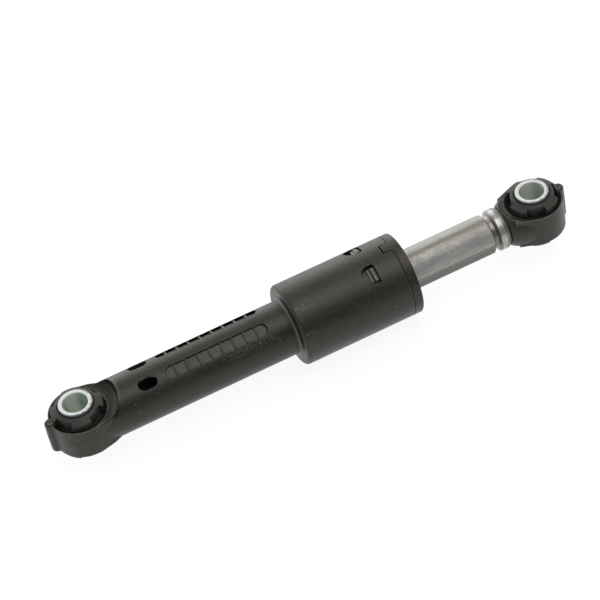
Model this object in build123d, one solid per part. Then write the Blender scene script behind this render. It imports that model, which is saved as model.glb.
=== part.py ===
from build123d import *
from math import radians, tan
import os

os.makedirs("parts", exist_ok=True)

# Frame: origin in the middle of the barrel eye's bore, +X towards the plunger eye, +Z along both bores

# Eyes and bushes, the eye discs' radii taken at the mould's parting plane
eye_distance = 202.0
barrel_eye_radius = 12.5
barrel_eye_shift = 0.6
plunger_eye_radius = 12.35
eye_draft = 1.0
eye_half_height = 6.8
eye_bore_radius = 9.5
mouth_radius = 11.7
mouth_depth = 1.6
boss_radius = 2.4
boss_offset = 11.7
boss_fillet = 1.6
boss_rise = 0.7
boss_round = 0.7
dimple_radius = 0.9
dimple_depth = 0.4
sleeve_bore_radius = 5.1
sleeve_outer_radius = 6.9
sleeve_half_length = 11.65
sleeve_chamfer = 0.25
collar_radius = 7.5
collar_half_height = 10.65
collar_groove_depth = 1.0
tooth_radius = 10.5
tooth_top = 9.1
tooth_count = 4
tooth_gap_angle = 45.0
gap_inner_radius = 8.9
gap_floor = 5.0
barrel_tooth_angle = -100.0
plunger_tooth_angle = -154.0

# Barrel tube and the scoop round its bush
barrel_radius = 11.5
barrel_wall = 1.9
barrel_floor = 20.5
barrel_floor_round = 2.0
scoop_radius = 16.6
scoop_round = 3.1
web_start = 2.4
web_middle = 8.8
web_end = 12.6
web_bulge = 0.05

# Ladder recesses and drain slots, mirrored to both sides of the mould's parting plane
side_angles = (28.0, -28.0, 152.0, 208.0)
ladder_start = 36.3
ladder_end = 80.1
ladder_width = 5.1
ladder_bar_depth = 0.5
ladder_cell_depth = 1.15
bar_count = 8
bar_first = 40.6
bar_pitch = 5.0
bar_width = 0.85
slot_start = 24.3
slot_end = 32.4

# Friction housing
housing_step = 5.65
housing_wall = 2.05
housing_start = 90.3
housing_end = 138.05
housing_corner = 1.5
root_round = 1.5
shoulder_thickness = 2.1
window_angles = (29.0, -29.0, 151.0, 209.0)
window_start = 121.4
window_end = 128.2
window_half_width = 4.3
window_corner = 0.9
notch_end = 134.1
notch_clearance = 0.15

# End cap with its long sleeve, latches and locating tabs
cap_end = 142.0
cap_corner = 0.5
cap_relief_width = 0.3
cap_relief_depth = 0.95
cap_inner_face = 137.2
cap_mouth_depth = 1.2
cap_mouth_flare = 1.3
cap_sleeve_start = 98.0
cap_sleeve_wall = 1.7
tab_start = 134.7
tab_half_width = 2.1
tab_angles = (0.0, 180.0)
latch_start = 124.9
latch_crest = 126.6
latch_end = 127.7
latch_half_width = 2.75
latch_step_height = 0.8
latch_crest_height = 1.5

# Stop rings and the floating lining carrier
stop_clearance = 0.35
front_stop_start = 132.4
carrier_start = 101.2
carrier_end = 129.2
carrier_wall = 1.8
carrier_web = 2.0
pocket_wall = 2.0
lining_slit = 0.8

# Plunger tube with its rolled grooves and crimped end
tube_gap = 1.2
tube_wall = 1.0
tube_start = 46.0
ring_groove_start = 49.0
ring_groove_end = 56.4
ring_groove_depth = 0.8
groove_slope = 0.3
lip_setback = 14.8
bead_setback = 16.0
neck_groove_end_setback = 20.0
neck_groove_start_setback = 21.6
neck_groove_depth = 1.4
neck_slope = 0.8
roll_round = 0.5
groove_round = 0.3
bead_height = 0.3
lip_depth = 0.5

# Guide ring in the tube's inner groove
ring_end_play = 0.3
ring_slit = 1.2

# Plunger eye head, its neck outline as setback from the eye and height over the tube
shank_setback = 34.0
shank_chamfer = 0.8
shank_core_radius = 4.0
neck_outline = ((14.5, -0.2), (13.4, 0.7), (12.0, 1.5), (9.0, 2.5), (6.0, 2.9))
head_scoop_radius = 14.4
head_scoop_round = 2.0
head_web_middle = 8.0
head_web_end = 11.9
head_web_bulge = -0.3

# Running fits
guide_clearance = 0.05
cap_clearance = 0.08

# Cutting reach
reach = 40.0
half_turn = 180.0
full_turn = 360.0

# Sizes that follow
bush_seat = eye_half_height - mouth_depth
boss_top_radius = boss_radius - eye_half_height * tan(radians(eye_draft))
barrel_bore_radius = barrel_radius - barrel_wall
tube_radius = barrel_bore_radius - tube_gap
housing_radius = barrel_radius + housing_step
housing_bore_radius = housing_radius - housing_wall
shoulder_inner_face = housing_start + shoulder_thickness
cap_sleeve_bore = housing_bore_radius - cap_sleeve_wall
lining_pocket_radius = cap_sleeve_bore - pocket_wall
stop_bore_radius = tube_radius + stop_clearance
ring_groove_radius = tube_radius - ring_groove_depth
neck_groove_radius = tube_radius - neck_groove_depth
bead_radius = tube_radius + bead_height
lip_radius = tube_radius - lip_depth
lip_end = eye_distance - lip_setback
bead_end = eye_distance - bead_setback
neck_groove_end = eye_distance - neck_groove_end_setback
neck_groove_start = eye_distance - neck_groove_start_setback
shank_start = eye_distance - shank_setback
neck_profile = [(eye_distance - x, tube_radius + height) for x, height in neck_outline]


def turned_x(corners):
    # Solid turned about X from (x, radius, rounding) corners
    face = make_face(Polyline([(x, r) for x, r, _ in corners], close=True))
    for x, r, rounding in corners:
        if rounding:
            face = fillet(face.vertices().sort_by_distance((x, r, 0))[0], rounding)
    return revolve(face, Axis.X, full_turn)


def turned_z(corners):
    # Solid turned about Z from (radius, z, rounding) corners
    face = make_face(Polyline([(r, 0, z) for r, z, _ in corners], close=True))
    for r, z, rounding in corners:
        if rounding:
            face = fillet(face.vertices().sort_by_distance((r, 0, z))[0], rounding)
    return revolve(face, Axis.Z, full_turn)


def ring_x(inner, outer, start, end):
    # Plain ring about X
    return turned_x([(start, inner, 0), (end, inner, 0), (end, outer, 0), (start, outer, 0)])


def box_between(x0, x1, half_width, z0, z1):
    # Box by its limits, centred on Y
    size = Box(x1 - x0, 2 * half_width, z1 - z0, align=(Align.MIN, Align.CENTER, Align.MIN))
    return Pos(x0, 0, z0) * size


def around_x(shape, angles):
    # Copies of a shape made at +Z, turned about X
    return [Rot(X=angle) * shape for angle in angles]


def drafted(face):
    # A face of the parting plane drawn out to both eye faces with the mould's draft
    upper = extrude(face, eye_half_height, taper=eye_draft)
    return upper + mirror(upper, Plane.XY)


def eye_disc(radius, shift):
    # Drafted disc of an eye with its filleted boss, the boss towards -X
    disc = Pos(shift, 0) * Rot(Z=half_turn) * Circle(radius)
    outline = disc + Pos(-boss_offset, 0) * Circle(boss_radius)
    return drafted(fillet(outline.vertices(), boss_fillet))


def boss_tops():
    # Rounded and dimpled tops of the boss, which stand by the mouths of the bore
    height = mouth_depth + boss_rise
    pin = Cylinder(boss_top_radius, height, align=(Align.CENTER, Align.CENTER, Align.MIN))
    pin = fillet(pin.edges().filter_by(GeomType.CIRCLE).sort_by(Axis.Z)[-1], boss_round)
    pin -= Pos(0, 0, height) * Cylinder(dimple_radius, 2 * dimple_depth)
    upper = Pos(-boss_offset, 0, bush_seat) * pin - Cylinder(tooth_radius, reach)
    return upper + mirror(upper, Plane.XY)


def eye_web(radius, body_radius, middle, end, bulge):
    # Web that leads the disc's side walls into the round body, meeting it at the eye faces
    end_width = (body_radius**2 - eye_half_height**2) ** 0.5
    middle_width = (radius + end_width) / 2 + bulge
    half = [(0, radius), (web_start, radius), (middle, middle_width), (end, end_width)]
    outline = half + [(x, -width) for x, width in reversed(half)]
    return drafted(make_face(Polyline(outline, close=True)))


def eye_bore():
    # Bore for the rubber with a widened mouth at both ends
    return turned_z([
        (0, -eye_half_height, 0),
        (mouth_radius, -eye_half_height, 0),
        (eye_bore_radius, -bush_seat, 0),
        (eye_bore_radius, bush_seat, 0),
        (mouth_radius, eye_half_height, 0),
        (0, eye_half_height, 0),
    ])


def scoop(radius, rounding):
    # Room cut into the body above and below the eye disc
    upper = turned_z([
        (0, eye_half_height, 0),
        (radius, eye_half_height, rounding),
        (radius, reach, 0),
        (0, reach, 0),
    ])
    return upper + mirror(upper, Plane.XY)


def ladder():
    # One ladder recess at +Z: a shallow pill with deeper cells between its bars
    length = ladder_end - ladder_start
    middle = (ladder_start + ladder_end) / 2
    pill = Pos(middle, 0) * SlotOverall(length, ladder_width)
    cells = pill
    for index in range(bar_count):
        bar = Rectangle(bar_width, 2 * ladder_width)
        cells -= Pos(bar_first + index * bar_pitch, 0) * bar
    shallow = Pos(0, 0, barrel_radius - ladder_bar_depth) * extrude(pill, reach)
    deep = Pos(0, 0, barrel_radius - ladder_cell_depth) * extrude(cells, reach)
    return shallow + deep


def drain_slot():
    # One slot at +Z through the barrel wall
    middle = (slot_start + slot_end) / 2
    outline = Pos(middle, 0) * SlotOverall(slot_end - slot_start, ladder_width)
    return Pos(0, 0, barrel_bore_radius / 2) * extrude(outline, reach)


def latch_window():
    # One D-shaped window at +Z through the housing wall
    straight = window_end - window_start - window_half_width
    width = 2 * window_half_width
    flat = Rectangle(straight, width, align=(Align.MAX, Align.CENTER))
    round_end = Circle(window_half_width) & Rectangle(width, width, align=(Align.MAX, Align.CENTER))
    outline = Pos(window_end, 0) * flat + Pos(window_end - straight, 0) * round_end
    outline = fillet(outline.vertices().sort_by(Axis.X)[-2:], window_corner)
    return Pos(0, 0, cap_sleeve_bore) * extrude(outline, reach)


def barrel_housing():
    # One moulding: eye, barrel tube and widened friction housing
    body = turned_x([
        (0, 0, 0),
        (housing_end, 0, 0),
        (housing_end, housing_radius, 0),
        (housing_start, housing_radius, housing_corner),
        (housing_start, barrel_radius, root_round),
        (0, barrel_radius, 0),
    ])
    body += eye_disc(barrel_eye_radius, barrel_eye_shift)
    body += eye_web(barrel_eye_radius, barrel_radius, web_middle, web_end, web_bulge)
    body -= scoop(scoop_radius, scoop_round)
    body -= eye_bore()
    body += boss_tops()
    body -= turned_x([
        (barrel_floor, 0, 0),
        (barrel_floor, barrel_bore_radius, barrel_floor_round),
        (shoulder_inner_face, barrel_bore_radius, 0),
        (shoulder_inner_face, housing_bore_radius, 0),
        (housing_end, housing_bore_radius, 0),
        (housing_end, 0, 0),
    ])
    for cut in around_x(ladder() + drain_slot(), side_angles):
        body -= cut
    for cut in around_x(latch_window(), window_angles):
        body -= cut
    notch_width = tab_half_width + notch_clearance
    notch = box_between(notch_end, housing_end, notch_width, cap_sleeve_bore, reach)
    for cut in around_x(notch, tab_angles):
        body -= cut
    return body


def latch():
    # One snap latch at +Z on the cap's sleeve
    root = (housing_bore_radius + cap_sleeve_bore) / 2
    crest = housing_bore_radius + latch_crest_height
    outline = [
        (latch_start, 0, root),
        (latch_start, 0, housing_bore_radius + latch_step_height),
        (latch_crest, 0, crest),
        (latch_end, 0, crest),
        (latch_end, 0, root),
    ]
    face = make_face(Polyline(outline, close=True))
    return extrude(face, latch_half_width, dir=(0, 1, 0), both=True)


def tab():
    # One locating tab at +Z, flush with the housing
    blank = box_between(tab_start, housing_end + cap_relief_width, tab_half_width, 0, reach)
    return blank & ring_x(housing_bore_radius, housing_radius, tab_start, cap_end)


def end_cap():
    # Cap rim, long sleeve, latches and tabs in one moulding
    bore = tube_radius + cap_clearance
    relief = housing_radius - cap_relief_depth
    body = turned_x([
        (cap_sleeve_start, cap_sleeve_bore, 0),
        (cap_inner_face, cap_sleeve_bore, 0),
        (cap_inner_face, bore, 0),
        (cap_end - cap_mouth_depth, bore, 0),
        (cap_end, tube_radius + cap_mouth_flare, 0),
        (cap_end, housing_radius, cap_corner),
        (housing_end + cap_relief_width, housing_radius, 0),
        (housing_end + cap_relief_width, relief, 0),
        (housing_end, relief, 0),
        (housing_end, housing_bore_radius, 0),
        (cap_sleeve_start, housing_bore_radius, 0),
    ])
    for piece in around_x(latch(), window_angles):
        body += piece
    for piece in around_x(tab(), tab_angles):
        body += piece
    return body


def rear_stop():
    # Rubber stop ring between the shoulder and the cap's sleeve
    return ring_x(stop_bore_radius, housing_bore_radius, shoulder_inner_face, cap_sleeve_start)


def front_stop():
    # Rubber stop ring behind the cap's end wall
    return ring_x(stop_bore_radius, cap_sleeve_bore, front_stop_start, cap_inner_face)


def pocket_limits():
    # Both lining pockets along X
    middle = (carrier_start + carrier_end) / 2
    rear = (carrier_start + carrier_wall, middle - carrier_web / 2)
    front = (middle + carrier_web / 2, carrier_end - carrier_wall)
    return rear, front


def lining_carrier():
    # Cage with two ring pockets that floats between the stop rings
    outer = cap_sleeve_bore - guide_clearance
    body = ring_x(stop_bore_radius, outer, carrier_start, carrier_end)
    for start, end in pocket_limits():
        body -= ring_x(tube_radius, lining_pocket_radius, start, end)
    return body


def friction_lining(limits):
    # Foam strip rolled into a ring, with the slit where its ends meet
    start, end = limits
    body = ring_x(tube_radius + guide_clearance, lining_pocket_radius, start, end)
    return body - box_between(start, end, lining_slit / 2, 0, reach)


def guide_ring():
    # Split ring that guides the tube's inner end in the barrel
    inner = ring_groove_radius + guide_clearance
    outer = barrel_bore_radius - guide_clearance
    start = ring_groove_start + ring_end_play
    end = ring_groove_end - ring_end_play
    body = ring_x(inner, outer, start, end)
    return body - box_between(start, end, ring_slit / 2, 0, reach)


def tube_neck_inside():
    # Inner outline of the tube's neck, shared with the head's shank
    inside = tube_radius - tube_wall
    groove = neck_groove_radius - tube_wall
    bead = bead_radius - tube_wall
    return [
        (neck_groove_start - tube_wall - neck_slope, inside, 0),
        (neck_groove_start - tube_wall, groove, 0),
        (neck_groove_end + tube_wall, groove, 0),
        (neck_groove_end + tube_wall + neck_slope, bead, 0),
        (bead_end - tube_wall, bead, 0),
        (lip_end, lip_radius - tube_wall, 0),
    ]


def plunger_tube():
    # Steel tube with the guide ring's groove and the rolled, crimped neck
    inside = tube_radius - tube_wall
    groove = ring_groove_radius - tube_wall
    outer = [
        (lip_end, lip_radius, 0),
        (bead_end, bead_radius, roll_round),
        (neck_groove_end + neck_slope, bead_radius, roll_round),
        (neck_groove_end, neck_groove_radius, groove_round),
        (neck_groove_start, neck_groove_radius, groove_round),
        (neck_groove_start - neck_slope, tube_radius, roll_round),
        (ring_groove_end + groove_slope, tube_radius, 0),
        (ring_groove_end, ring_groove_radius, 0),
        (ring_groove_start, ring_groove_radius, 0),
        (ring_groove_start - groove_slope, tube_radius, 0),
        (tube_start, tube_radius, 0),
    ]
    inner = [
        (tube_start, inside, 0),
        (ring_groove_start - groove_slope - tube_wall, inside, 0),
        (ring_groove_start - tube_wall, groove, 0),
        (ring_groove_end + tube_wall, groove, 0),
        (ring_groove_end + tube_wall + groove_slope, inside, 0),
    ]
    return turned_x(outer + inner + tube_neck_inside())


def plunger_eye_head():
    # One moulding: eye, neck and the shank held in the tube
    inside = tube_radius - tube_wall
    shank = [
        (bead_end, 0, 0),
        (bead_end, shank_core_radius, 0),
        (shank_start, shank_core_radius, 0),
        (shank_start, inside - shank_chamfer, 0),
        (shank_start + shank_chamfer, inside, 0),
    ]
    neck = [(x, r, 0) for x, r in neck_profile]
    last_radius = neck_profile[-1][1]
    web_radius = neck_profile[-2][1]
    neck += [(eye_distance, last_radius, 0), (eye_distance, 0, 0)]
    body = turned_x(shank + tube_neck_inside() + neck)
    eye = eye_disc(plunger_eye_radius, 0)
    eye += eye_web(plunger_eye_radius, web_radius, head_web_middle, head_web_end, head_web_bulge)
    turned = Pos(eye_distance, 0, 0) * Rot(Z=half_turn)
    body += turned * eye
    body -= turned * scoop(head_scoop_radius, head_scoop_round)
    body -= turned * eye_bore()
    return body + turned * boss_tops()


def eye_rubber(first_tooth):
    # Bush rubber: grooved round the sleeve, sloped to its teeth, the lower ones half a pitch on
    slope = (mouth_radius - eye_bore_radius) / mouth_depth
    tooth_foot = bush_seat + (tooth_radius - eye_bore_radius) / slope
    groove_floor = collar_half_height - collar_groove_depth
    half = [
        (sleeve_outer_radius, groove_floor, 0),
        (collar_radius, groove_floor, 0),
        (collar_radius, collar_half_height, 0),
        (tooth_radius, tooth_top, 0),
        (tooth_radius, tooth_foot, 0),
        (eye_bore_radius, bush_seat, 0),
    ]
    lower = [(r, -z, 0) for r, z, _ in reversed(half)]
    body = turned_z(half + lower)
    half_width = reach * tan(radians(tooth_gap_angle / 2))
    wedge = make_face(Polyline([(0, 0), (reach, -half_width), (reach, half_width)], close=True))
    gap = Pos(0, 0, gap_floor) * extrude(wedge, reach)
    gap -= Cylinder(gap_inner_radius, 4 * reach)
    pitch = full_turn / tooth_count
    for index in range(tooth_count):
        angle = first_tooth + index * pitch
        body -= Rot(Z=angle + pitch / 2) * gap
        body -= Rot(Z=angle) * mirror(gap, Plane.XY)
    return body


def eye_sleeve():
    # Steel sleeve with broken edges
    body = turned_z([
        (sleeve_bore_radius, -sleeve_half_length, 0),
        (sleeve_outer_radius, -sleeve_half_length, 0),
        (sleeve_outer_radius, sleeve_half_length, 0),
        (sleeve_bore_radius, sleeve_half_length, 0),
    ])
    ends = body.edges().filter_by(GeomType.CIRCLE)
    return chamfer(ends, sleeve_chamfer)


at_plunger_eye = Pos(eye_distance, 0, 0)
rear_pocket, front_pocket = pocket_limits()

nodes = {
    "barrel_housing": barrel_housing(),
    "end_cap": end_cap(),
    "rear_stop_ring": rear_stop(),
    "front_stop_ring": front_stop(),
    "barrel_eye_rubber": eye_rubber(barrel_tooth_angle),
    "barrel_eye_sleeve": eye_sleeve(),
    "lining_carrier": lining_carrier(),
    "rear_friction_lining": friction_lining(rear_pocket),
    "front_friction_lining": friction_lining(front_pocket),
    "guide_ring": guide_ring(),
    "plunger_tube": plunger_tube(),
    "plunger_eye_head": plunger_eye_head(),
    "plunger_eye_rubber": at_plunger_eye * eye_rubber(plunger_tooth_angle),
    "plunger_eye_sleeve": at_plunger_eye * eye_sleeve(),
}

for name, shape in nodes.items():
    export_step(shape, f"parts/{name}.step")
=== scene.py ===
import math

import bpy
from bpy.props import FloatProperty, FloatVectorProperty, PointerProperty
from bpy.types import Operator, Panel, PropertyGroup
from mathutils import Matrix, Vector


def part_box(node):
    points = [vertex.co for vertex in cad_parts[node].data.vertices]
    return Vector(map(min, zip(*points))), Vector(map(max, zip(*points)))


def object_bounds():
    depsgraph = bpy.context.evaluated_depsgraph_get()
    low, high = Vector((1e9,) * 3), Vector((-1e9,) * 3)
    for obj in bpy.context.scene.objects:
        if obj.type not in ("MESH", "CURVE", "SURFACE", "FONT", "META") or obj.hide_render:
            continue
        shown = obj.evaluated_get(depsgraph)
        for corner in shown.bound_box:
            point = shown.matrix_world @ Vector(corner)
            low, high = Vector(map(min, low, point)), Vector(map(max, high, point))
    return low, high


bl_info = {
    "name": "Washing machine shock absorber",
    "version": (1, 0, 0),
    "blender": (4, 5, 0),
    "location": "View3D > Sidebar > Damper",
    "description": "Finishes the packed friction damper strut and sets its studio stage",
    "category": "Object",
}

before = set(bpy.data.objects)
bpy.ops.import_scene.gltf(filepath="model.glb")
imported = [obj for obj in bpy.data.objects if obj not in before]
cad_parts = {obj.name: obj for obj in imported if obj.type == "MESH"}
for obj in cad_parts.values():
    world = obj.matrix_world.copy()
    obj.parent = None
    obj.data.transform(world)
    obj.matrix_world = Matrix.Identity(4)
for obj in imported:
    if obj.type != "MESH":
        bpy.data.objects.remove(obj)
cad_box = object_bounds()

MM = 0.001

# The fitted camera: place and axes in the strut's frame
CAMERA_PLACE = (-0.107051, -0.666636, 0.700955)
CAMERA_RIGHT = (0.88740, -0.43374, -0.15618)
CAMERA_UP = (0.41128, 0.59182, 0.69325)
CAMERA_LENS = 150.0
CAMERA_SENSOR = 36.0


def span_x(node_name):
    """Lowest and highest X of a node at rest."""
    low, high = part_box(node_name)
    return low[0], high[0]


# Places along X and the sleeve's radius, from the frame
HOUSING_END = span_x("barrel_housing")[1]
TUBE_END = span_x("plunger_tube")[1]
SLEEVE_START, SLEEVE_END = span_x("barrel_eye_sleeve")
SLEEVE_RADIUS = (SLEEVE_END - SLEEVE_START) / 2
PLUNGER_EYE_X = sum(span_x("plunger_eye_sleeve")) / 2

# Barrel and its eye
BARREL_RADIUS = 11.5 * MM
EYE_ZONE = 15.0 * MM
EYE_WEB = 20.0 * MM
SCOOP_FOOT = 12.4 * MM
SCOOP_RADIUS = 16.6 * MM
LADDER_START = 36.3 * MM
LADDER_END = 80.1 * MM
LADDER_WIDTH = 5.1 * MM
LADDER_ANGLE = math.radians(28.0)

# Housing, its windows, and the cap's latches behind them
HOUSING_LENGTH = 47.75 * MM
SHOULDER_X = HOUSING_END - HOUSING_LENGTH
WINDOW_START = 121.0 * MM
WINDOW_END = 128.5 * MM
NOTCH_START = 134.1 * MM
LATCH_START = 124.9 * MM
LATCH_CREST = 126.6 * MM
LATCH_END = 128.0 * MM
LATCH_RADIUS = 15.2 * MM

# Tube's rolled neck and crimped lip
NECK_START = TUBE_END - 7.0 * MM
LIP_START = TUBE_END - 1.9 * MM

# Edges, fine relief, and how much more the exposed edges are lightened, by rubbing and as painted
# highlight
STEEL_EDGE = 0.15 * MM
RUBBER_EDGE = 0.25 * MM
PARTING_HEIGHT = 0.06 * MM
GRAIN_HEIGHT = 0.10 * MM
EYE_RUB_AND_HIGHLIGHT = 0.70
WINDOW_RUB_AND_HIGHLIGHT = 0.15
LATCH_RUB_AND_HIGHLIGHT = 0.50

# Fixed colours of the sleeves' small chips, and of the painted shade on their outer wall
CHIP_COLOUR = (0.13, 0.16, 0.19, 1.0)
SLEEVE_WALL_SHADE = (0.10, 0.11, 0.11, 1.0)

# Stage
FLOOR_HALF = 12.0
FLOOR_DROP = 0.2 * MM
FLOOR_PLAIN = 0.86
FLOOR_MATT = 0.14
FLOOR_GLOW = 0.90
PANEL_LEAN = (0.20, -0.29, 1.0)
PANEL_DISTANCE = 1.25
PANEL_ASPECT = 0.85


def grey(value):
    """One number as an opaque colour."""
    return (value, value, value, 1.0)


def opaque(colour):
    """A property's colour with full alpha."""
    return tuple(colour) + (1.0,)


def scaled(colour, factor):
    """A colour made lighter or darker by a factor."""
    return tuple(min(1.0, factor * channel) for channel in colour[:3]) + (1.0,)


def blended(first, second, share):
    """A colour between two others."""
    pairs = zip(first[:3], second[:3])
    return tuple((1 - share) * a + share * b for a, b in pairs) + (1.0,)


class Signal:
    """A node socket that can stand in a sum, a difference or a product."""

    def __init__(self, finish, socket):
        self.finish = finish
        self.socket = socket

    def _math(self, operation, first, second):
        signals = [value for value in (first, second) if isinstance(value, Signal)]
        if any(signal.socket.type in ("VECTOR", "RGBA") for signal in signals):
            first, second = (
                value if isinstance(value, Signal) else (value, value, value)
                for value in (first, second)
            )
            kind = "ShaderNodeVectorMath"
        else:
            kind = "ShaderNodeMath"
        return self.finish.node(kind, {"operation": operation}, {0: first, 1: second})

    def __add__(self, other):
        return self._math("ADD", self, other)

    __radd__ = __add__

    def __sub__(self, other):
        return self._math("SUBTRACT", self, other)

    def __rsub__(self, other):
        return self._math("SUBTRACT", other, self)

    def __mul__(self, other):
        return self._math("MULTIPLY", self, other)

    __rmul__ = __mul__


class Finish:
    """A shader under construction: every node comes from one method."""

    def __init__(self, owner):
        owner.use_nodes = True
        self.owner = owner
        self.tree = owner.node_tree
        self.tree.nodes.clear()

    def node(self, kind, settings=None, inputs=None, output=0):
        """A node of a kind, its settings set first, then its sockets' values or links."""
        made = self.tree.nodes.new(kind)
        for key, value in (settings or {}).items():
            setattr(made, key, value)
        for key, value in (inputs or {}).items():
            if isinstance(value, Signal):
                self.tree.links.new(value.socket, made.inputs[key])
            else:
                made.inputs[key].default_value = value
        return Signal(self, made.outputs[output]) if made.outputs else None

    def place(self):
        """The piece's own coordinates, in metres."""
        return self.node("ShaderNodeTexCoord", output="Object")

    def parts(self, vector):
        """The three numbers of a vector."""
        outputs = self.node("ShaderNodeSeparateXYZ", inputs={0: vector}).socket.node.outputs
        return [Signal(self, output) for output in outputs]

    def stretched(self, vector, scale):
        """A vector scaled along each axis."""
        return self.node("ShaderNodeMapping", inputs={0: vector, "Scale": scale})

    def noise(self, vector, scale, detail=2.0, roughness=0.5):
        """Cloudy noise from 0 to 1."""
        inputs = {"Vector": vector, "Scale": scale, "Detail": detail, "Roughness": roughness}
        return self.node("ShaderNodeTexNoise", inputs=inputs)

    def ramp(self, value, low, high):
        """0 below low, 1 above high, straight between."""
        inputs = {"Value": value, "From Min": low, "From Max": high}
        return self.node("ShaderNodeMapRange", inputs=inputs)

    def band(self, value, low, high, soft):
        """1 between two limits, falling to 0 within a soft margin outside them."""
        return self.ramp(value, low - soft, low) * (1 - self.ramp(value, high, high + soft))

    def size(self, value):
        """A value without its sign."""
        return self.node("ShaderNodeMath", {"operation": "ABSOLUTE"}, {0: value})

    def turn(self, y, z):
        """Angle about X in radians, from +Z towards -Y."""
        return self.node("ShaderNodeMath", {"operation": "ARCTAN2"}, {0: y * -1.0, 1: z})

    def reach(self, first, second):
        """Distance from an axis, from the two coordinates across it."""
        squares = first * first + second * second
        return self.node("ShaderNodeMath", {"operation": "SQRT"}, {0: squares})

    def mixed(self, factor, first, second):
        """Two colours mixed by a factor."""
        inputs = {0: factor, 6: first, 7: second}
        return self.node("ShaderNodeMix", {"data_type": "RGBA"}, inputs, output=2)

    def specks(self, place, spacing, size, share):
        """Round specks of a size scattered over cells of a spacing, in a share of the cells."""
        cells = {"Vector": place, "Scale": 1 / spacing}
        distance = self.node("ShaderNodeTexVoronoi", inputs=cells)
        colour = self.node("ShaderNodeTexVoronoi", inputs=cells, output="Color")
        chosen = self.ramp(self.parts(colour)[0], 1 - share, 1.01 - share)
        inner, outer = 0.6 * size / spacing, 1.2 * size / spacing
        return (1 - self.ramp(distance, inner, outer)) * chosen

    def rounded(self, radius):
        """The normal with every edge shaded round by a radius."""
        return self.node("ShaderNodeBevel", {"samples": 6}, {"Radius": radius})

    def own_normal(self):
        """The surface's own normal."""
        return self.node("ShaderNodeNewGeometry", output="Normal")

    def agreement(self, first, second):
        """1 where two directions are the same, 0 where they are square to each other."""
        dots = {"operation": "DOT_PRODUCT"}
        return self.node("ShaderNodeVectorMath", dots, {0: first, 1: second}, output="Value")

    def edges(self, rounded):
        """Mask of the edges: where the rounded normal leaves the surface's own."""
        return self.ramp(1 - self.agreement(rounded, self.own_normal()), 0.01, 0.12)

    def bumped(self, height, distance, strength, normal):
        """A normal from a height field from 0 to 1 and the height of its 1."""
        inputs = {"Height": height, "Distance": distance, "Strength": strength, "Normal": normal}
        return self.node("ShaderNodeBump", inputs=inputs)

    def surface(self, **inputs):
        """Ends the material in a principled surface; underscores in names stand for spaces."""
        named = {key.replace("_", " "): value for key, value in inputs.items()}
        return self.close(self.node("ShaderNodeBsdfPrincipled", inputs=named))

    def close(self, shader, kind="ShaderNodeOutputMaterial"):
        """Ends the tree in its output."""
        self.node(kind, inputs={"Surface": shader})
        return self.owner


def new_material(name):
    """An empty material ready for its nodes."""
    return Finish(bpy.data.materials.new(name))


def moulded_plastic(name, values, eye_x, rub_and_highlight_spans, scuffs_and_highlights=None, painted_shades=None):
    """Satin black moulding: soft tones, fine grain, parting line, specks, edges lightened by rubbing
    and as painted highlight.

    eye_x is the place of the piece's eye, whose edges are rounder. rub_and_highlight_spans lists the
    spans along X where the edges are lightened more, by rubbing and as painted highlight, and by how
    much.
    """
    f = new_material(name)
    colour = opaque(values.plastic)
    place = f.place()
    x, y, z = f.parts(place)
    tone = f.ramp(f.noise(place, 70.0, 3.0), 0.35, 0.68)
    grain = f.noise(place, 1 / values.grain, 3.0, 0.65)
    dust = f.ramp(f.noise(place, 1300.0, 4.0, 0.7), 0.50, 0.70)
    speck = f.specks(place, 2.6 * MM, 0.23 * MM, 0.20)
    tight, loose = f.rounded(values.edge), f.rounded(values.rim)
    near_eye = f.ramp(f.reach(x - eye_x, y), EYE_ZONE + 2 * MM, EYE_ZONE)
    rounded = tight + (loose - tight) * near_eye
    edge = f.edges(rounded) * f.ramp(f.noise(place, 500.0, 3.0, 0.6), 0.20, 0.5)
    # Edge lightening everywhere, by rubbing and as painted highlight, with more in the given spans
    rubbed = 0.14
    for low, high, extra in rub_and_highlight_spans:
        rubbed = rubbed + extra * f.band(x, low, high, 0.5 * MM)
    parting = f.ramp(z, -0.05 * MM, 0.05 * MM)
    base = f.mixed(tone, scaled(colour, 0.86), scaled(colour, 1.14))
    pale = blended(colour, values.dust, 0.6)
    if scuffs_and_highlights:
        # Dusty colour from scuffs, and painted highlights on ridges and latches
        base = f.mixed(scuffs_and_highlights(f, place, x, y, z), base, opaque(values.dust))
    # Pale dust mottle, and the edges' rubbing and painted highlight
    base = f.mixed(0.09 * dust + rubbed * edge, base, pale)
    base = f.mixed(0.60 * speck, base, opaque(values.dust))
    # Painted shade: the base goes near black, and the same amount as Metallic takes away its sheen
    shade_amount = painted_shades(f, place, x, y, z) if painted_shades else 0.0
    base = f.mixed(shade_amount, base, grey(0.001))
    rough = values.plastic_roughness + 0.05 * tone + 0.10 * dust - 0.07 * edge
    normal = f.bumped(parting, PARTING_HEIGHT, 1.0, rounded)
    normal = f.bumped(grain, GRAIN_HEIGHT, 0.9, normal)
    return f.surface(
        Base_Color=base, Roughness=rough, Metallic=shade_amount, Normal=normal,
        Specular_Tint=opaque(values.gloss))


def ladder_walls(f, place, x, y, z):
    """Painted shade on the ladders' steep walls: under the barrel's skin, not facing outwards."""
    outward = f.stretched(place, (0.0, 1.0, 1.0))
    outward = f.node("ShaderNodeVectorMath", {"operation": "NORMALIZE"}, {0: outward})
    facing = f.agreement(outward, f.own_normal())
    recess = 1 - f.ramp(f.reach(y, z), BARREL_RADIUS - 0.12 * MM, BARREL_RADIUS - 0.04 * MM)
    ladder = f.band(x, LADDER_START, LADDER_END, 0.3 * MM) * recess
    return 0.75 * ladder * (1 - f.ramp(facing, 0.45, 0.75))


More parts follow.
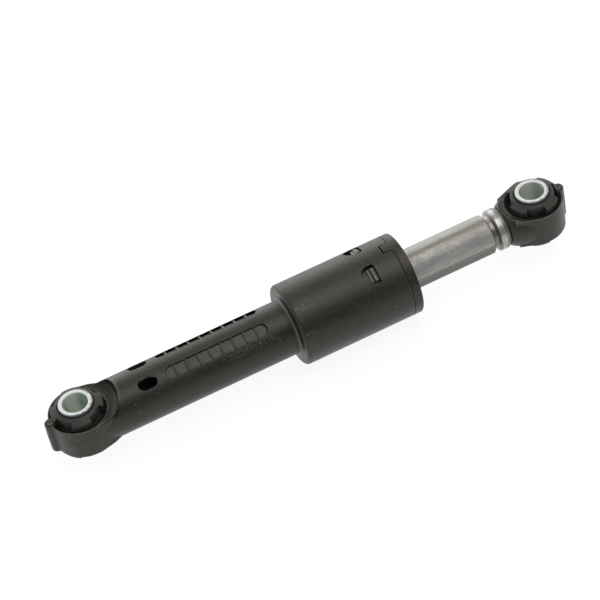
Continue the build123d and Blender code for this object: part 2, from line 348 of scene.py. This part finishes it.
def ladder_outline(f, x, y, z):
    """Painted shade round each ladder, a band at half its width from its middle line."""
    folded = f.turn(f.size(y) * -1.0, f.size(z)) - LADDER_ANGLE
    aside = f.reach(y, z) * folded
    half, middle = (LADDER_END - LADDER_START) / 2, (LADDER_END + LADDER_START) / 2
    beyond = f.ramp(f.size(x - middle), half - LADDER_WIDTH / 2, half)
    from_spine = f.reach(aside, 0.5 * LADDER_WIDTH * beyond)
    outline = f.band(from_spine, 0.5 * LADDER_WIDTH - 0.25 * MM, 0.5 * LADDER_WIDTH, 0.08 * MM)
    return 0.70 * outline * f.band(x, LADDER_START, LADDER_END, 0.1 * MM)


def scoop_shade(f, x, y, z):
    """Painted shade in the scoops cut round the eye, above and below the web."""
    scooped = f.band(f.reach(x, y), SCOOP_FOOT, SCOOP_RADIUS - 0.4 * MM, 0.7 * MM)
    return 0.5 * scooped * f.ramp(f.size(z), 4.5 * MM, 6.0 * MM) * f.ramp(x, 4 * MM, 8 * MM)


def barrel_painted_shade(f, place, x, y, z):
    """Painted shade of the barrel: in and round the ladders, in the scoops, beside the tabs."""
    sides = f.band(f.size(y), 2.25 * MM, 2.38 * MM, 0.05 * MM)
    beside_tabs = 0.9 * sides * f.ramp(x, NOTCH_START - 0.1 * MM, NOTCH_START)
    ladders = ladder_walls(f, place, x, y, z) + ladder_outline(f, x, y, z)
    return ladders + scoop_shade(f, x, y, z) + beside_tabs


def tab_painted_shade(f, place, x, y, z):
    """Painted shade along both sides of the cap's tabs, as far as the housing reaches."""
    sides = f.band(f.size(y), 1.99 * MM, 2.10 * MM, 0.05 * MM)
    return 0.9 * sides * (1 - f.ramp(x, HOUSING_END - 0.05 * MM, HOUSING_END + 0.05 * MM))


def latch_painted_highlights(f, place, x, y, z):
    """Painted highlights: bright lines across the latches' foot and crest, where their rounded edges
    catch the light.
    """
    foot = f.band(x, LATCH_START, LATCH_START + 0.28 * MM, 0.08 * MM)
    crest = f.band(x, LATCH_CREST - 0.12 * MM, LATCH_CREST + 0.15 * MM, 0.08 * MM)
    raised = f.ramp(f.reach(y, z), LATCH_RADIUS, LATCH_RADIUS + 0.1 * MM)
    return raised * (0.9 * foot + 0.6 * crest) * (1 - f.ramp(x, LATCH_END, LATCH_END + 0.1 * MM))


def barrel_scuffs(f, place, x, turn, reach):
    """Specks rubbed beside a ladder, scrapes and a smudge by the shoulder, dusty ladder floors."""
    fine = f.noise(place, 1700.0, 3.0, 0.65)
    cloud = f.noise(place, 420.0, 3.0, 0.6)
    beside = f.band(x, 64 * MM, 79 * MM, 5 * MM) * f.band(turn, 0.80, 0.98, 0.10)
    rubbed = beside * f.ramp(fine, 0.53, 0.66) * 0.34
    lines = f.noise(f.stretched(place, (90.0, 2400.0, 2400.0)), 1.0, 2.0, 0.5)
    strip = f.band(x, SHOULDER_X + 2 * MM, SHOULDER_X + 5 * MM, 1 * MM)
    strip = strip * f.band(turn, 0.5, 1.75, 0.2)
    scraped = strip * f.ramp(lines, 0.60, 0.68) * 0.26
    smudge = f.band(x, SHOULDER_X + 4 * MM, SHOULDER_X + 8 * MM, 2 * MM)
    smudge = smudge * f.band(turn, 0.38, 0.58, 0.12)
    patch = smudge * f.ramp(cloud, 0.42, 0.66) * 0.09
    floors = 1 - f.ramp(reach, BARREL_RADIUS - 0.9 * MM, BARREL_RADIUS - 0.6 * MM)
    cells = floors * f.band(x, 37 * MM, 80 * MM, 1 * MM) * f.ramp(cloud, 0.35, 0.65) * 0.08
    return rubbed + scraped + patch + cells


def barrel_painted_highlights(f, x, y, z, reach):
    """Painted highlights: pale lines on the shoulder's root and on the scoops' rims high on the
    barrel.
    """
    root = f.band(x, SHOULDER_X - 1.2 * MM, SHOULDER_X + 0.5 * MM, 0.1 * MM)
    root = 0.18 * root * f.band(reach, BARREL_RADIUS + 0.2 * MM, BARREL_RADIUS + 0.7 * MM, 0.1 * MM)
    rim = f.band(f.reach(x, y), SCOOP_RADIUS, SCOOP_RADIUS + 0.8 * MM, 0.4 * MM)
    rim = 0.09 * rim * f.ramp(f.size(z), 8.8 * MM, 9.8 * MM) * f.ramp(x, 4 * MM, 8 * MM)
    return root + rim


def barrel_scuffs_and_highlights(f, place, x, y, z):
    """Where the barrel shows its dusty colour: scuffs, and the painted highlights on its ridges."""
    turn, reach = f.turn(y, z), f.reach(y, z)
    return barrel_scuffs(f, place, x, turn, reach) + barrel_painted_highlights(f, x, y, z, reach)


def black_rubber(name, values):
    """Matte black rubber: dull, with a soft bloom and a fine moulded texture."""
    f = new_material(name)
    place = f.place()
    colour = opaque(values.rubber)
    bloom = f.ramp(f.noise(place, 260.0, 3.0, 0.6), 0.40, 0.72)
    grain = f.noise(place, 2200.0, 3.0, 0.65)
    speck = f.specks(place, 2.2 * MM, 0.20 * MM, 0.20)
    base = f.mixed(bloom * f.ramp(grain, 0.35, 0.65), colour, scaled(colour, 2.6))
    base = f.mixed(0.30 * speck, base, grey(0.4))
    normal = f.bumped(grain, 0.03 * MM, 0.6, f.rounded(RUBBER_EDGE))
    return f.surface(
        Base_Color=base, Roughness=0.52 + 0.12 * bloom, Normal=normal,
        Specular_Tint=opaque(values.gloss))


def zinc_sleeve(name, values, axis_x):
    """Bright cut end with small chips at its rim, a duller greenish bore with a pale band of painted
    highlight on its far side, and painted shade on the outer wall.
    """
    f = new_material(name)
    end_colour, bore_colour = opaque(values.zinc), opaque(values.bore)
    place = f.place()
    x, y, z = f.parts(place)
    from_axis = f.reach(x - axis_x, y)
    up = f.parts(f.own_normal())[2]
    end = f.ramp(up * up, 0.35, 0.75)
    # Painted shade: the outer wall below the end goes dark
    wall = f.ramp(from_axis, 0.90 * SLEEVE_RADIUS, 0.97 * SLEEVE_RADIUS) * (1 - end)
    rim = f.ramp(from_axis, 0.84 * SLEEVE_RADIUS, 0.95 * SLEEVE_RADIUS)
    mottle = f.noise(place, 650.0, 4.0, 0.6)
    fine = f.noise(place, 2600.0, 3.0, 0.7)
    worn_side = f.ramp(x - axis_x - y, -3 * MM, 4 * MM)
    chips = rim * worn_side * f.ramp(f.noise(place, 800.0, 3.0, 0.65), 0.46, 0.54)
    # Painted highlight: a pale band on the bore's far side
    streak = f.band(x - axis_x, -1.6 * MM, 1.2 * MM, 2.2 * MM) * f.ramp(y, 0.0, 2 * MM)
    bore_highlight = blended(bore_colour, values.bore_highlight, 0.8)
    side = f.mixed(streak, f.mixed(mottle, bore_colour, scaled(bore_colour, 0.8)), bore_highlight)
    face = f.mixed(f.ramp(fine, 0.42, 0.62), end_colour, scaled(end_colour, 0.80))
    face = f.mixed(0.75 * chips, face, CHIP_COLOUR)
    base = f.mixed(end, side, face)
    base = f.mixed(wall, base, SLEEVE_WALL_SHADE)
    normal = f.bumped(fine, 0.02 * MM, 0.5, f.rounded(STEEL_EDGE))
    return f.surface(
        Base_Color=base, Metallic=0.35 + 0.35 * end, Roughness=0.42 + 0.15 * mottle, Normal=normal)


def streaked_steel(f, values, turn, fine, broad):
    """Steel with fine lengthwise streaks, and bands of painted shade and reflection at set angles
    round the tube, darker, brown and yellowish, wandering a little, and darkest underneath.
    """
    steel, brown_shade = opaque(values.steel), opaque(values.brown_shade)
    shifted = turn + 0.16 * (broad - 0.5)
    # Painted shade and reflection: darker, brown and yellowish bands at set angles round the tube, and
    # darker underneath
    shade_band = f.band(shifted, 0.50, 0.80, 0.12)
    upper = f.band(shifted, 0.03, 0.24, 0.08)
    yellow = f.band(shifted, 0.31, 0.44, 0.07)
    under = f.ramp(shifted, 1.60, 1.72)
    lower = f.band(shifted, 1.50, 1.64, 0.07)
    base = f.mixed(f.ramp(fine, 0.30, 0.70), scaled(steel, 0.68), scaled(steel, 1.30))
    base = f.mixed(0.45 * shade_band, base, scaled(steel, 0.48))
    base = f.mixed(0.75 * upper, base, brown_shade)
    base = f.mixed(0.60 * yellow, base, opaque(values.straw_reflection))
    base = f.mixed(0.90 * under, base, scaled(steel, 0.38))
    return f.mixed(0.80 * lower * f.ramp(fine, 0.2, 0.6), base, scaled(brown_shade, 0.6))


def spotted_steel(f, values, base, place, turn, mottle):
    """Patches of painted highlight in a band near the top, pits that thicken underneath, small dark
    spots on the far side.
    """
    steel = opaque(values.steel)
    # Painted highlight: bright patches only in the band where the overhead light is reflected
    patches = f.ramp(f.noise(place, 190.0, 3.0, 0.6), 0.46, 0.64)
    bright = f.band(turn, 0.35, 0.80, 0.15) * patches * f.ramp(mottle, 0.36, 0.62)
    base = f.mixed(0.6 * bright, base, scaled(steel, 1.5))
    pits = f.ramp(f.noise(place, 900.0, 3.0, 0.6), 0.54, 0.64)
    pits = pits * (0.35 + 0.65 * f.ramp(turn, 1.3, 1.9))
    base = f.mixed(0.40 * pits, base, scaled(steel, 0.5))
    spots = f.band(turn, -0.9, -0.1, 0.2) * f.specks(place, 1.7 * MM, 0.30 * MM, 0.45)
    return f.mixed(0.45 * spots * f.ramp(mottle, 0.4, 0.6), base, scaled(steel, 0.4))


def rolled_neck(f, values, base, place, x, turn, mottle, neck, worn):
    """Rings of painted reflection on the polished neck, painted shade with a brown tint in the groove
    behind its bead, and a dark worn lip.
    """
    steel, brown_shade = opaque(values.steel), opaque(values.brown_shade)
    # Painted reflection: lighter and darker rings along the neck
    polished = f.noise(f.stretched(place, (2600.0, 260.0, 260.0)), 1.0, 3.0, 0.6)
    ring = f.mixed(f.ramp(polished, 0.38, 0.62), scaled(steel, 0.75), scaled(steel, 1.45))
    base = f.mixed(0.9 * neck, base, ring)
    # Painted shade in the groove, with a brown tint, stronger on the side towards -Y
    groove = f.band(x, NECK_START + 0.1 * MM, NECK_START + 2.7 * MM, 0.25 * MM)
    groove = groove * (0.4 + 0.6 * f.ramp(turn, -0.2, 0.6))
    base = f.mixed(groove * (0.50 + 0.4 * mottle), base, scaled(brown_shade, 0.60))
    return f.mixed(0.80 * worn, base, scaled(steel, 0.22))


def drawn_steel(name, values):
    """Bare drawn tube: streaks along it, bands of painted shade and reflection, patches of painted
    highlight, small spots, and a polished worn neck with rings of painted reflection.
    """
    f = new_material(name)
    place = f.place()
    x, y, z = f.parts(place)
    turn = f.turn(y, z)
    fine = f.noise(f.stretched(place, (90.0, 2200.0, 2200.0)), 1.0, 4.0, 0.65)
    broad = f.noise(f.stretched(place, (18.0, 420.0, 420.0)), 1.0, 3.0, 0.55)
    mottle = f.noise(place, 1500.0, 4.0, 0.7)
    neck = f.ramp(x, NECK_START - 0.8 * MM, NECK_START)
    worn = f.ramp(x, LIP_START - 0.7 * MM, LIP_START) * (0.5 + 0.5 * f.ramp(mottle, 0.40, 0.60))
    base = streaked_steel(f, values, turn, fine, broad)
    base = spotted_steel(f, values, base, place, turn, mottle)
    base = rolled_neck(f, values, base, place, x, turn, mottle, neck, worn)
    rough = 0.46 + 0.12 * fine - 0.24 * neck + 0.22 * worn
    normal = f.bumped(fine + 0.5 * mottle, 0.012 * MM, 0.6, f.rounded(STEEL_EDGE))
    return f.surface(Base_Color=base, Metallic=0.85, Roughness=rough, Normal=normal)


def pale_moulding(name, colour):
    """Natural white moulding with a faint mottle."""
    f = new_material(name)
    tone = f.noise(f.place(), 200.0, 3.0)
    base = f.mixed(f.ramp(tone, 0.35, 0.7), colour, scaled(colour, 0.86))
    return f.surface(Base_Color=base, Roughness=0.42 + 0.1 * tone)


def greased_foam(name, colour):
    """Open foam soaked in grease: coarse pores, dark and light."""
    f = new_material(name)
    place = f.place()
    pores = f.node("ShaderNodeTexVoronoi", inputs={"Vector": place, "Scale": 1400.0})
    base = f.mixed(f.ramp(pores, 0.15, 0.6), scaled(colour, 0.45), colour)
    normal = f.bumped(pores, 0.2 * MM, 0.8, f.own_normal())
    return f.surface(Base_Color=base, Roughness=0.75 - 0.2 * pores, Normal=normal)


def dress(node_name, material):
    """Gives a node of the frame its finish in place of its plain one."""
    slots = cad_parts[node_name].data.materials
    slots.clear()
    slots.append(material)


class DamperFinishes(PropertyGroup):
    """Colours and surface values that a user would change."""

    plastic: FloatVectorProperty(
        name="Moulded black", description="Colour of the barrel, cap and eye head",
        default=(0.0082, 0.0071, 0.0057), subtype="COLOR", size=3, min=0.0, max=1.0)
    gloss: FloatVectorProperty(
        name="Moulded gloss", description="Tint of the mouldings' reflections",
        default=(1.0, 0.955, 0.87), subtype="COLOR", size=3, min=0.0, max=1.0)
    plastic_roughness: FloatProperty(
        name="Moulded roughness", description="Roughness of the black mouldings",
        default=0.34, min=0.0, max=1.0, subtype="FACTOR")
    grain: FloatProperty(
        name="Grain", description="Size of the mouldings' fine grain",
        default=0.60 * MM, min=0.05 * MM, unit="LENGTH", precision=5)
    edge: FloatProperty(
        name="Edge", description="Radius of the mouldings' edges",
        default=0.30 * MM, min=0.05 * MM, unit="LENGTH", precision=5)
    rim: FloatProperty(
        name="Eye rim", description="Radius of the edges round the eyes",
        default=0.65 * MM, min=0.05 * MM, unit="LENGTH", precision=5)
    # Also the colour of the painted highlights on the mouldings' edges, latches and ridges
    dust: FloatVectorProperty(
        name="Dust", description="Colour of specks and scuffs on the mouldings",
        default=(0.36, 0.34, 0.30), subtype="COLOR", size=3, min=0.0, max=1.0)
    rubber: FloatVectorProperty(
        name="Bush rubber", description="Colour of the rubber bushes",
        default=(0.0150, 0.0140, 0.0130), subtype="COLOR", size=3, min=0.0, max=1.0)
    zinc: FloatVectorProperty(
        name="Sleeve end", description="Colour of the sleeves' cut ends",
        default=(0.70, 0.72, 0.695), subtype="COLOR", size=3, min=0.0, max=1.0)
    bore: FloatVectorProperty(
        name="Sleeve bore", description="Colour of the sleeves' bores",
        default=(0.50, 0.58, 0.52), subtype="COLOR", size=3, min=0.0, max=1.0)
    # The colour of the painted highlight on the bores' far side
    bore_highlight: FloatVectorProperty(
        name="Bore streak", description="Colour of the streak in the bores",
        default=(0.84, 0.83, 0.75), subtype="COLOR", size=3, min=0.0, max=1.0)
    steel: FloatVectorProperty(
        name="Tube steel", description="Colour of the bare plunger tube",
        default=(0.36, 0.355, 0.342), subtype="COLOR", size=3, min=0.0, max=1.0)
    # Colour of the brown painted shade bands on the tube and in its groove
    brown_shade: FloatVectorProperty(
        name="Tube stain", description="Colour of the brown bands on the tube",
        default=(0.22, 0.198, 0.163), subtype="COLOR", size=3, min=0.0, max=1.0)
    # Colour of the yellowish painted reflection band on the tube
    straw_reflection: FloatVectorProperty(
        name="Tube straw", description="Colour of the yellowish streak on the tube",
        default=(0.31, 0.275, 0.198), subtype="COLOR", size=3, min=0.0, max=1.0)
    carrier: FloatVectorProperty(
        name="Natural moulding", description="Colour of the lining carrier and guide ring",
        default=(0.72, 0.71, 0.66), subtype="COLOR", size=3, min=0.0, max=1.0)
    foam: FloatVectorProperty(
        name="Lining foam", description="Colour of the greased friction linings",
        default=(0.46, 0.38, 0.22), subtype="COLOR", size=3, min=0.0, max=1.0)


class DamperStage(PropertyGroup):
    """Stage values that a user would change."""

    panel_level: FloatProperty(
        name="Panel level", description="Brightness of the soft panel overhead, white is 1",
        default=2.0, min=0.0)
    panel_width: FloatProperty(
        name="Panel width", description="Width of the soft panel overhead",
        default=1.0, min=0.1, unit="LENGTH")
    near_level: FloatProperty(
        name="Near level", description="Brightness of the surroundings on the camera's side",
        default=0.19, min=0.0)
    rise_level: FloatProperty(
        name="Rise", description="Brightness gained from the camera's side to overhead",
        default=0.30, min=0.0)
    side_level: FloatProperty(
        name="Side level", description="Brightness added at the left and right",
        default=0.55, min=0.0)
    far_level: FloatProperty(
        name="Far level", description="Brightness added low on the far side",
        default=1.90, min=0.0)


class DAMPER_OT_mouldings(Operator):
    """Finish the black mouldings: barrel and housing, end cap and eye head"""
    bl_idname = "damper.mouldings"
    bl_label = "Finish mouldings"

    def execute(self, context):
        values = context.scene.damper_finishes
        eye = (-EYE_ZONE, EYE_WEB, EYE_RUB_AND_HIGHLIGHT)
        windows = (WINDOW_START, WINDOW_END, WINDOW_RUB_AND_HIGHLIGHT)
        latches = (LATCH_START - 0.4 * MM, LATCH_END, LATCH_RUB_AND_HIGHLIGHT)
        far_eye = (PLUNGER_EYE_X - EYE_WEB, PLUNGER_EYE_X + EYE_ZONE, EYE_RUB_AND_HIGHLIGHT)
        barrel = moulded_plastic(
            "barrel black", values, 0.0, (eye, windows), barrel_scuffs_and_highlights, barrel_painted_shade)
        cap = moulded_plastic("cap black", values, 0.0, (latches,), latch_painted_highlights, tab_painted_shade)
        head = moulded_plastic("head black", values, PLUNGER_EYE_X, (far_eye,))
        dress("barrel_housing", barrel)
        dress("end_cap", cap)
        dress("plunger_eye_head", head)
        return {"FINISHED"}


class DAMPER_OT_bushes(Operator):
    """Finish both bushes: castellated rubber and steel sleeve"""
    bl_idname = "damper.bushes"
    bl_label = "Finish bushes"

    def execute(self, context):
        values = context.scene.damper_finishes
        rubber = black_rubber("bush rubber", values)
        for side, eye_x in (("barrel", 0.0), ("plunger", PLUNGER_EYE_X)):
            dress(f"{side}_eye_rubber", rubber)
            dress(f"{side}_eye_sleeve", zinc_sleeve(f"{side} sleeve zinc", values, eye_x))
        return {"FINISHED"}


class DAMPER_OT_tube(Operator):
    """Finish the bare steel plunger tube"""
    bl_idname = "damper.tube"
    bl_label = "Finish tube"

    def execute(self, context):
        dress("plunger_tube", drawn_steel("tube steel", context.scene.damper_finishes))
        return {"FINISHED"}


class DAMPER_OT_insides(Operator):
    """Finish the pieces inside the housing"""
    bl_idname = "damper.insides"
    bl_label = "Finish insides"

    def execute(self, context):
        values = context.scene.damper_finishes
        white = pale_moulding("natural moulding", opaque(values.carrier))
        foam = greased_foam("lining foam", opaque(values.foam))
        stop = black_rubber("stop rubber", values)
        for finish, names in (
            (white, ("lining_carrier", "guide_ring")),
            (foam, ("rear_friction_lining", "front_friction_lining")),
            (stop, ("rear_stop_ring", "front_stop_ring")),
        ):
            for name in names:
                dress(name, finish)
        return {"FINISHED"}


class DAMPER_OT_stage(Operator):
    """Set the pale floor, the soft light, the surroundings and the camera"""
    bl_idname = "damper.stage"
    bl_label = "Set stage"

    def execute(self, context):
        values = context.scene.damper_stage
        context.scene.view_settings.view_transform = "Standard"
        self.floor(context.scene)
        self.panel(context.scene, values)
        self.surroundings(context.scene, values)
        self.camera(context.scene)
        return {"FINISHED"}

    @staticmethod
    def floor(scene):
        """A wide flat pale sheet just under the object, close to white where it is seen."""
        height = cad_box[0][2] - FLOOR_DROP
        signs = ((-1, -1), (1, -1), (1, 1), (-1, 1))
        corners = [(x * FLOOR_HALF, y * FLOOR_HALF, height) for x, y in signs]
        mesh = bpy.data.meshes.new("floor")
        mesh.from_pydata(corners, [], [(0, 1, 2, 3)])
        sheet = bpy.data.objects.new("floor", mesh)
        scene.collection.objects.link(sheet)
        f = new_material("floor white")
        plain = f.node("ShaderNodeBsdfDiffuse", inputs={"Color": grey(FLOOR_PLAIN)})
        matt = f.node("ShaderNodeBsdfDiffuse", inputs={"Color": grey(FLOOR_MATT)})
        glow = f.node("ShaderNodeEmission", inputs={"Color": grey(1.0), "Strength": FLOOR_GLOW})
        bright = f.node("ShaderNodeAddShader", inputs={0: matt, 1: glow})
        rays = [
            f.node("ShaderNodeLightPath", output=f"Is {ray} Ray")
            for ray in ("Camera", "Glossy", "Transmission")
        ]
        seen = rays[0] + rays[1] + rays[2]
        inputs = {0: seen, 1: plain, 2: bright}
        mesh.materials.append(f.close(f.node("ShaderNodeMixShader", inputs=inputs)))

    @staticmethod
    def panel(scene, values):
        """One broad soft panel overhead, leaning to the camera's side."""
        low, high = Vector(cad_box[0]), Vector(cad_box[1])
        middle = (low + high) / 2
        lamp = bpy.data.lights.new("overhead panel", "AREA")
        lamp.shape = "RECTANGLE"
        lamp.size = values.panel_width
        lamp.size_y = PANEL_ASPECT * values.panel_width
        lamp.energy = values.panel_level * math.pi * lamp.size * lamp.size_y
        holder = bpy.data.objects.new("overhead panel", lamp)
        lean = Vector(PANEL_LEAN).normalized()
        holder.location = middle + PANEL_DISTANCE * lean
        holder.rotation_euler = (-lean).to_track_quat("-Z", "Y").to_euler()
        holder.visible_camera = False
        scene.collection.objects.link(holder)

    @staticmethod
    def surroundings(scene, values):
        """A plain pale room, dim on the camera's side and brightest low on the far side."""
        f = Finish(bpy.data.worlds.new("studio"))
        x, y, z = f.parts(f.node("ShaderNodeTexCoord", output="Generated"))
        far = f.ramp(y, 0.0, 1.0)
        level = values.near_level + values.rise_level * (y + 1.0) + values.side_level * x * x
        level = level + values.far_level * far * far * far * far
        back = f.node("ShaderNodeBackground", inputs={"Color": grey(1.0), "Strength": level})
        scene.world = f.close(back, "ShaderNodeOutputWorld")

    @staticmethod
    def camera(scene):
        """The camera fitted to the picture: its place, its axes and a long lens."""
        lens = bpy.data.cameras.new("camera")
        lens.lens = CAMERA_LENS
        lens.sensor_width = CAMERA_SENSOR
        lens.clip_start = 0.01
        lens.clip_end = 60.0
        eye = bpy.data.objects.new("camera", lens)
        right, up = Vector(CAMERA_RIGHT), Vector(CAMERA_UP)
        turn = Matrix((right, up, right.cross(up))).transposed().to_4x4()
        eye.matrix_world = Matrix.Translation(CAMERA_PLACE) @ turn
        scene.collection.objects.link(eye)
        scene.camera = eye


OPERATORS = (
    DAMPER_OT_mouldings,
    DAMPER_OT_bushes,
    DAMPER_OT_tube,
    DAMPER_OT_insides,
    DAMPER_OT_stage,
)


class DAMPER_PT_sidebar(Panel):
    """Lists the damper's steps and their values"""
    bl_idname = "DAMPER_PT_sidebar"
    bl_label = "Shock absorber"
    bl_space_type = "VIEW_3D"
    bl_region_type = "UI"
    bl_category = "Damper"

    def draw(self, context):
        for operator in OPERATORS:
            self.layout.operator(operator.bl_idname)
        for group in (context.scene.damper_finishes, context.scene.damper_stage):
            for name in group.__annotations__:
                self.layout.prop(group, name)


CLASSES = (DamperFinishes, DamperStage) + OPERATORS + (DAMPER_PT_sidebar,)


def register():
    """Registers the classes and hangs the values on the scene."""
    for cls in CLASSES:
        bpy.utils.register_class(cls)
    bpy.types.Scene.damper_finishes = PointerProperty(type=DamperFinishes)
    bpy.types.Scene.damper_stage = PointerProperty(type=DamperStage)


def unregister():
    """Takes the values and classes away again."""
    del bpy.types.Scene.damper_stage
    del bpy.types.Scene.damper_finishes
    for cls in reversed(CLASSES):
        bpy.utils.unregister_class(cls)


def main():
    """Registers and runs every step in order."""
    register()
    for operator in OPERATORS:
        group, name = operator.bl_idname.split(".")
        getattr(getattr(bpy.ops, group), name)()


if __name__ == "__main__":
    main()
